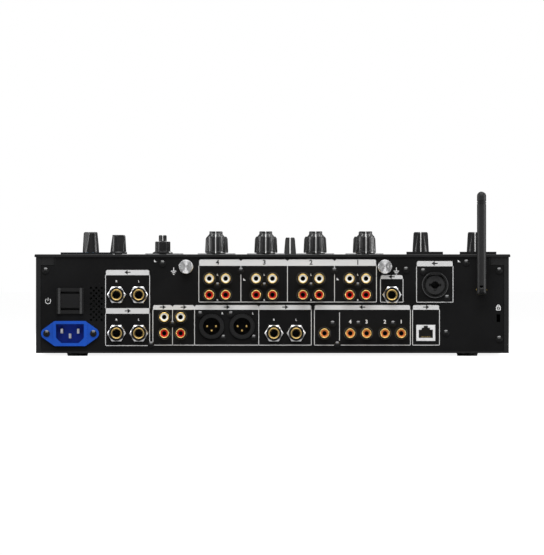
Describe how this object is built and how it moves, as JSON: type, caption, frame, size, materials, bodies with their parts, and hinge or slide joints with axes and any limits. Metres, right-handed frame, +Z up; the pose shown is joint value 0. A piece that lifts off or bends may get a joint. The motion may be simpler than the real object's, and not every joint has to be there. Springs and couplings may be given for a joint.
{
  "type": "dj mixer",
  "caption": "Table-top club mixer: black case with a socketed rear panel, folding antenna, knobs, faders and cue buttons on the top panel.",
  "frame": {"origin": "below the middle of the whole object, in the plane of the feet", "axes": "+Z up, -Y towards the operator, +Y out of the rear panel, +X to the operator's right"},
  "size_m": [0.4076, 0.4584, 0.141],
  "materials": {
    "case_paint": "satin black paint",
    "panel_paint": "matte black paint with pale print",
    "foot_rubber": "matte",
    "black_steel": "blackened, satin",
    "gold_plate": "gold plated",
    "socket_plastic": "moulded, matte",
    "nut_chrome": "polished nickel",
    "shield_metal": "tinned",
    "inlet_plastic": "blue, moulded",
    "switch_plastic": "moulded, satin",
    "spun_steel": "spun face",
    "bezel_plastic": "moulded, matte",
    "board_laminate": "green laminate",
    "antenna_plastic": "moulded, satin",
    "knob_plastic": "soft-touch with a white line",
    "fader_plastic": "moulded with a white line",
    "button_plastic": "translucent, amber"
  },
  "bodies": {
    "case": {"chassis_tray": "case_paint", "rear_panel": "panel_paint", "top_panel": "panel_paint", "rubber_feet": "foot_rubber", "case_screws": "black_steel", "cinch_sockets": "gold_plate", "jack_sockets": "socket_plastic", "jack_nuts": "nut_chrome", "three_pin_outlets": "socket_plastic", "combo_socket": "socket_plastic", "data_sockets": "shield_metal", "mains_inlet": "inlet_plastic", "switch_frame": "switch_plastic", "ground_terminals": "spun_steel", "antenna_connector": "gold_plate", "panel_bezels": "bezel_plastic", "circuit_boards": "board_laminate"},
    "antenna_knuckle": {"antenna_knuckle": "antenna_plastic"},
    "antenna_whip": {"antenna_whip": "antenna_plastic"},
    "power_rocker": {"power_rocker": "switch_plastic"},
    "crossfader": {"crossfader": "fader_plastic"},
    "channel_1_fader": {"channel_1_fader": "fader_plastic"},
    "channel_2_fader": {"channel_2_fader": "fader_plastic"},
    "channel_3_fader": {"channel_3_fader": "fader_plastic"},
    "channel_4_fader": {"channel_4_fader": "fader_plastic"},
    "master_outer_knob": {"master_outer_knob": "knob_plastic"},
    "master_inner_knob": {"master_inner_knob": "knob_plastic"},
    "channel_1_cue_button": {"channel_1_cue_button": "button_plastic"},
    "effect_depth_knob": {"effect_depth_knob": "knob_plastic"},
    "effect_select_knob": {"effect_select_knob": "knob_plastic"},
    "headphone_mix_knob": {"headphone_mix_knob": "knob_plastic"},
    "headphone_level_knob": {"headphone_level_knob": "knob_plastic"},
    "combo_latch": {"combo_latch": "socket_plastic"},
    "channel_1_selector_knob": {"channel_1_selector_knob": "knob_plastic"},
    "channel_1_trim_knob": {"channel_1_trim_knob": "knob_plastic"},
    "channel_1_high_knob": {"channel_1_high_knob": "knob_plastic"},
    "channel_1_mid_knob": {"channel_1_mid_knob": "knob_plastic"},
    "channel_1_low_knob": {"channel_1_low_knob": "knob_plastic"},
    "channel_1_colour_knob": {"channel_1_colour_knob": "knob_plastic"},
    "channel_2_selector_knob": {"channel_2_selector_knob": "knob_plastic"},
    "channel_2_trim_knob": {"channel_2_trim_knob": "knob_plastic"},
    "channel_2_high_knob": {"channel_2_high_knob": "knob_plastic"},
    "channel_2_mid_knob": {"channel_2_mid_knob": "knob_plastic"},
    "channel_2_low_knob": {"channel_2_low_knob": "knob_plastic"},
    "channel_2_colour_knob": {"channel_2_colour_knob": "knob_plastic"},
    "channel_3_selector_knob": {"channel_3_selector_knob": "knob_plastic"},
    "channel_3_trim_knob": {"channel_3_trim_knob": "knob_plastic"},
    "channel_3_high_knob": {"channel_3_high_knob": "knob_plastic"},
    "channel_3_mid_knob": {"channel_3_mid_knob": "knob_plastic"},
    "channel_3_low_knob": {"channel_3_low_knob": "knob_plastic"},
    "channel_3_colour_knob": {"channel_3_colour_knob": "knob_plastic"},
    "channel_4_selector_knob": {"channel_4_selector_knob": "knob_plastic"},
    "channel_4_trim_knob": {"channel_4_trim_knob": "knob_plastic"},
    "channel_4_high_knob": {"channel_4_high_knob": "knob_plastic"},
    "channel_4_mid_knob": {"channel_4_mid_knob": "knob_plastic"},
    "channel_4_low_knob": {"channel_4_low_knob": "knob_plastic"},
    "channel_4_colour_knob": {"channel_4_colour_knob": "knob_plastic"},
    "channel_2_cue_button": {"channel_2_cue_button": "button_plastic"},
    "channel_3_cue_button": {"channel_3_cue_button": "button_plastic"},
    "channel_4_cue_button": {"channel_4_cue_button": "button_plastic"}
  },
  "joints": [
    {"name": "antenna_turn", "type": "hinge", "parent": "case", "child": "antenna_knuckle", "pos_m": [-0.179, 0.2152, 0.057], "axis": [0, 1, 0], "range_deg": [-90, 60]},
    {"name": "antenna_fold", "type": "hinge", "parent": "antenna_knuckle", "child": "antenna_whip", "pos_m": [-0.179, 0.22525, 0.057], "axis": [-1, 0, 0], "range_deg": [0, 90]},
    {"name": "power_rock", "type": "hinge", "parent": "case", "child": "power_rocker", "pos_m": [0.1733, 0.2132, 0.0474], "axis": [1, 0, 0], "range_deg": [0, 18]},
    {"name": "crossfader_slide", "type": "slide", "parent": "case", "child": "crossfader", "axis": [1, 0, 0], "range_m": [-0.0225, 0.0225]},
    {"name": "channel_1_fader_slide", "type": "slide", "parent": "case", "child": "channel_1_fader", "axis": [0, 1, 0], "range_m": [0, 0.06]},
    {"name": "channel_2_fader_slide", "type": "slide", "parent": "case", "child": "channel_2_fader", "axis": [0, 1, 0], "range_m": [0, 0.06]},
    {"name": "channel_3_fader_slide", "type": "slide", "parent": "case", "child": "channel_3_fader", "axis": [0, 1, 0], "range_m": [0, 0.06]},
    {"name": "channel_4_fader_slide", "type": "slide", "parent": "case", "child": "channel_4_fader", "axis": [0, 1, 0], "range_m": [0, 0.06]},
    {"name": "master_outer_turn", "type": "hinge", "parent": "case", "child": "master_outer_knob", "pos_m": [0.0945, 0.1604, 0.0873], "axis": [0, 0, 1], "range_deg": [-150, 150]},
    {"name": "master_inner_turn", "type": "hinge", "parent": "case", "child": "master_inner_knob", "pos_m": [0.0945, 0.1604, 0.0873], "axis": [0, 0, 1], "range_deg": [-150, 150]},
    {"name": "channel_1_cue_press", "type": "slide", "parent": "case", "child": "channel_1_cue_button", "axis": [0, 0, -1], "range_m": [0, 0.0012], "stiffness_N_per_m": 300},
    {"name": "effect_depth_turn", "type": "hinge", "parent": "case", "child": "effect_depth_knob", "pos_m": [0.16, -0.0456, 0.0873], "axis": [0, 0, 1], "range_deg": [-150, 150]},
    {"name": "effect_select_turn", "type": "hinge", "parent": "case", "child": "effect_select_knob", "pos_m": [0.134, 0.0764, 0.0873], "axis": [0, 0, 1], "range_deg": [-150, 150]},
    {"name": "headphone_mix_turn", "type": "hinge", "parent": "case", "child": "headphone_mix_knob", "pos_m": [-0.1307, -0.0436, 0.0873], "axis": [0, 0, 1], "range_deg": [-150, 150]},
    {"name": "headphone_level_turn", "type": "hinge", "parent": "case", "child": "headphone_level_knob", "pos_m": [-0.1785, -0.0436, 0.0873], "axis": [0, 0, 1], "range_deg": [-150, 150]},
    {"name": "combo_latch_press", "type": "slide", "parent": "case", "child": "combo_latch", "axis": [0, -1, 0], "range_m": [0, 0.0015], "stiffness_N_per_m": 300},
    {"name": "channel_1_selector_turn", "type": "hinge", "parent": "case", "child": "channel_1_selector_knob", "pos_m": [-0.08047, 0.1842, 0.0873], "axis": [0, 0, 1], "range_deg": [-75, 75]},
    {"name": "channel_1_trim_turn", "type": "hinge", "parent": "case", "child": "channel_1_trim_knob", "pos_m": [-0.08047, 0.1607, 0.0873], "axis": [0, 0, 1], "range_deg": [-150, 150]},
    {"name": "channel_1_high_turn", "type": "hinge", "parent": "case", "child": "channel_1_high_knob", "pos_m": [-0.08047, 0.1375, 0.0873], "axis": [0, 0, 1], "range_deg": [-150, 150]},
    {"name": "channel_1_mid_turn", "type": "hinge", "parent": "case", "child": "channel_1_mid_knob", "pos_m": [-0.08047, 0.1143, 0.0873], "axis": [0, 0, 1], "range_deg": [-150, 150]},
    {"name": "channel_1_low_turn", "type": "hinge", "parent": "case", "child": "channel_1_low_knob", "pos_m": [-0.08047, 0.0911, 0.0873], "axis": [0, 0, 1], "range_deg": [-150, 150]},
    {"name": "channel_1_colour_turn", "type": "hinge", "parent": "case", "child": "channel_1_colour_knob", "pos_m": [-0.08047, 0.0224, 0.0873], "axis": [0, 0, 1], "range_deg": [-150, 150]},
    {"name": "channel_2_selector_turn", "type": "hinge", "parent": "case", "child": "channel_2_selector_knob", "pos_m": [-0.03739, 0.1842, 0.0873], "axis": [0, 0, 1], "range_deg": [-75, 75]},
    {"name": "channel_2_trim_turn", "type": "hinge", "parent": "case", "child": "channel_2_trim_knob", "pos_m": [-0.03739, 0.1607, 0.0873], "axis": [0, 0, 1], "range_deg": [-150, 150]},
    {"name": "channel_2_high_turn", "type": "hinge", "parent": "case", "child": "channel_2_high_knob", "pos_m": [-0.03739, 0.1375, 0.0873], "axis": [0, 0, 1], "range_deg": [-150, 150]},
    {"name": "channel_2_mid_turn", "type": "hinge", "parent": "case", "child": "channel_2_mid_knob", "pos_m": [-0.03739, 0.1143, 0.0873], "axis": [0, 0, 1], "range_deg": [-150, 150]},
    {"name": "channel_2_low_turn", "type": "hinge", "parent": "case", "child": "channel_2_low_knob", "pos_m": [-0.03739, 0.0911, 0.0873], "axis": [0, 0, 1], "range_deg": [-150, 150]},
    {"name": "channel_2_colour_turn", "type": "hinge", "parent": "case", "child": "channel_2_colour_knob", "pos_m": [-0.03739, 0.0224, 0.0873], "axis": [0, 0, 1], "range_deg": [-150, 150]},
    {"name": "channel_3_selector_turn", "type": "hinge", "parent": "case", "child": "channel_3_selector_knob", "pos_m": [0.00569, 0.1842, 0.0873], "axis": [0, 0, 1], "range_deg": [-75, 75]},
    {"name": "channel_3_trim_turn", "type": "hinge", "parent": "case", "child": "channel_3_trim_knob", "pos_m": [0.00569, 0.1607, 0.0873], "axis": [0, 0, 1], "range_deg": [-150, 150]},
    {"name": "channel_3_high_turn", "type": "hinge", "parent": "case", "child": "channel_3_high_knob", "pos_m": [0.00569, 0.1375, 0.0873], "axis": [0, 0, 1], "range_deg": [-150, 150]},
    {"name": "channel_3_mid_turn", "type": "hinge", "parent": "case", "child": "channel_3_mid_knob", "pos_m": [0.00569, 0.1143, 0.0873], "axis": [0, 0, 1], "range_deg": [-150, 150]},
    {"name": "channel_3_low_turn", "type": "hinge", "parent": "case", "child": "channel_3_low_knob", "pos_m": [0.00569, 0.0911, 0.0873], "axis": [0, 0, 1], "range_deg": [-150, 150]},
    {"name": "channel_3_colour_turn", "type": "hinge", "parent": "case", "child": "channel_3_colour_knob", "pos_m": [0.00569, 0.0224, 0.0873], "axis": [0, 0, 1], "range_deg": [-150, 150]},
    {"name": "channel_4_selector_turn", "type": "hinge", "parent": "case", "child": "channel_4_selector_knob", "pos_m": [0.04877, 0.1842, 0.0873], "axis": [0, 0, 1], "range_deg": [-75, 75]},
    {"name": "channel_4_trim_turn", "type": "hinge", "parent": "case", "child": "channel_4_trim_knob", "pos_m": [0.04877, 0.1607, 0.0873], "axis": [0, 0, 1], "range_deg": [-150, 150]},
    {"name": "channel_4_high_turn", "type": "hinge", "parent": "case", "child": "channel_4_high_knob", "pos_m": [0.04877, 0.1375, 0.0873], "axis": [0, 0, 1], "range_deg": [-150, 150]},
    {"name": "channel_4_mid_turn", "type": "hinge", "parent": "case", "child": "channel_4_mid_knob", "pos_m": [0.04877, 0.1143, 0.0873], "axis": [0, 0, 1], "range_deg": [-150, 150]},
    {"name": "channel_4_low_turn", "type": "hinge", "parent": "case", "child": "channel_4_low_knob", "pos_m": [0.04877, 0.0911, 0.0873], "axis": [0, 0, 1], "range_deg": [-150, 150]},
    {"name": "channel_4_colour_turn", "type": "hinge", "parent": "case", "child": "channel_4_colour_knob", "pos_m": [0.04877, 0.0224, 0.0873], "axis": [0, 0, 1], "range_deg": [-150, 150]},
    {"name": "channel_2_cue_press", "type": "slide", "parent": "case", "child": "channel_2_cue_button", "axis": [0, 0, -1], "range_m": [0, 0.0012], "stiffness_N_per_m": 300},
    {"name": "channel_3_cue_press", "type": "slide", "parent": "case", "child": "channel_3_cue_button", "axis": [0, 0, -1], "range_m": [0, 0.0012], "stiffness_N_per_m": 300},
    {"name": "channel_4_cue_press", "type": "slide", "parent": "case", "child": "channel_4_cue_button", "axis": [0, 0, -1], "range_m": [0, 0.0012], "stiffness_N_per_m": 300}
  ]
}
